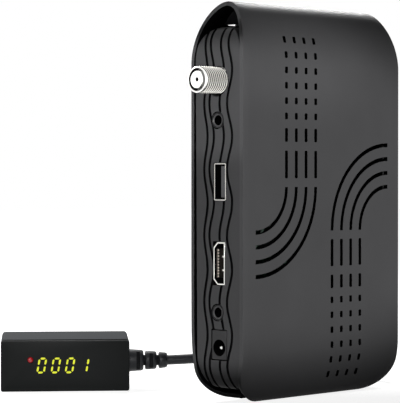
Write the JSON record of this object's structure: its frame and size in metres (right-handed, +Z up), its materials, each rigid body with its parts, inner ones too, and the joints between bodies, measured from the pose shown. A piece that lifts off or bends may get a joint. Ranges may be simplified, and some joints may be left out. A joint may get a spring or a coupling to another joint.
{
  "type": "satellite tv receiver",
  "caption": "Small upright satellite receiver with a vented two-part shell and a port panel, and a plug-in digit display on a coiled lead.",
  "frame": {"origin": "middle of the flat that the receiver stands on, under its lower short end", "axes": "+Z up along the height, +Y out of the plain back, -Y out of the vented face, -X out of the port panel"},
  "size_m": [0.1349, 0.1148, 0.1423],
  "materials": {
    "shell": "fine satin grain, dark grey",
    "panel": "satin dark grey with engraved waves",
    "nickel": "bright nickel plate",
    "gold": "thin gold plate",
    "plastic_black": "moulded black",
    "plastic_white": "natural insulator",
    "board": "green solder mask",
    "aluminium": "bare extruded",
    "chip": "moulded epoxy",
    "display_plastic": "satin dark grey",
    "window": "smoked, smooth",
    "lit": "lit yellow-green light guide",
    "lamp": "red lens",
    "rubber": "smooth black moulding",
    "foam": "double-sided foam tape"
  },
  "bodies": {
    "receiver": {"front_cover": "shell", "back_cover": "shell", "port_panel": "panel", "far_panel": "panel", "circuit_board": "board", "tuner_can": "nickel", "antenna_socket": "nickel", "antenna_insulator": "plastic_white", "antenna_contact": "gold", "serial_jack": "plastic_black", "serial_collar": "plastic_black", "audio_jack": "plastic_black", "audio_collar": "plastic_black", "display_jack": "plastic_black", "display_collar": "plastic_black", "usb_shell": "nickel", "usb_tongue": "plastic_black", "usb_contacts": "gold", "video_shell": "nickel", "video_tongue": "plastic_black", "video_contacts": "gold", "power_jack": "plastic_black", "power_pin": "nickel", "main_chip": "chip", "heat_sink": "aluminium", "memory_chip_1": "chip", "memory_chip_2": "chip", "flash_chip": "chip", "crystal": "nickel", "inductor_1": "chip", "inductor_2": "chip", "inductor_3": "chip", "capacitor_1": "aluminium", "capacitor_2": "aluminium", "capacitor_3": "aluminium", "board_screw_1": "nickel", "board_screw_2": "nickel", "board_screw_3": "nickel", "board_screw_4": "nickel", "cover_screw_1": "nickel", "cover_screw_2": "nickel"},
    "display_lead": {"display_housing": "display_plastic", "display_front": "window", "lit_guide": "lit", "digit_block": "plastic_black", "display_lamp": "lamp", "display_board": "board", "infrared_receiver": "chip", "display_pad": "foam", "strain_relief": "rubber", "cord_to_coil": "rubber", "cord_coil": "rubber", "cord_to_plug": "rubber", "coil_tie": "rubber", "plug_grip": "rubber", "plug_shaft": "nickel"}
  },
  "joints": [
    {"name": "display_unplug", "type": "slide", "parent": "receiver", "child": "display_lead", "axis": [1, 0, 0], "range_m": [0, 0.016]}
  ]
}
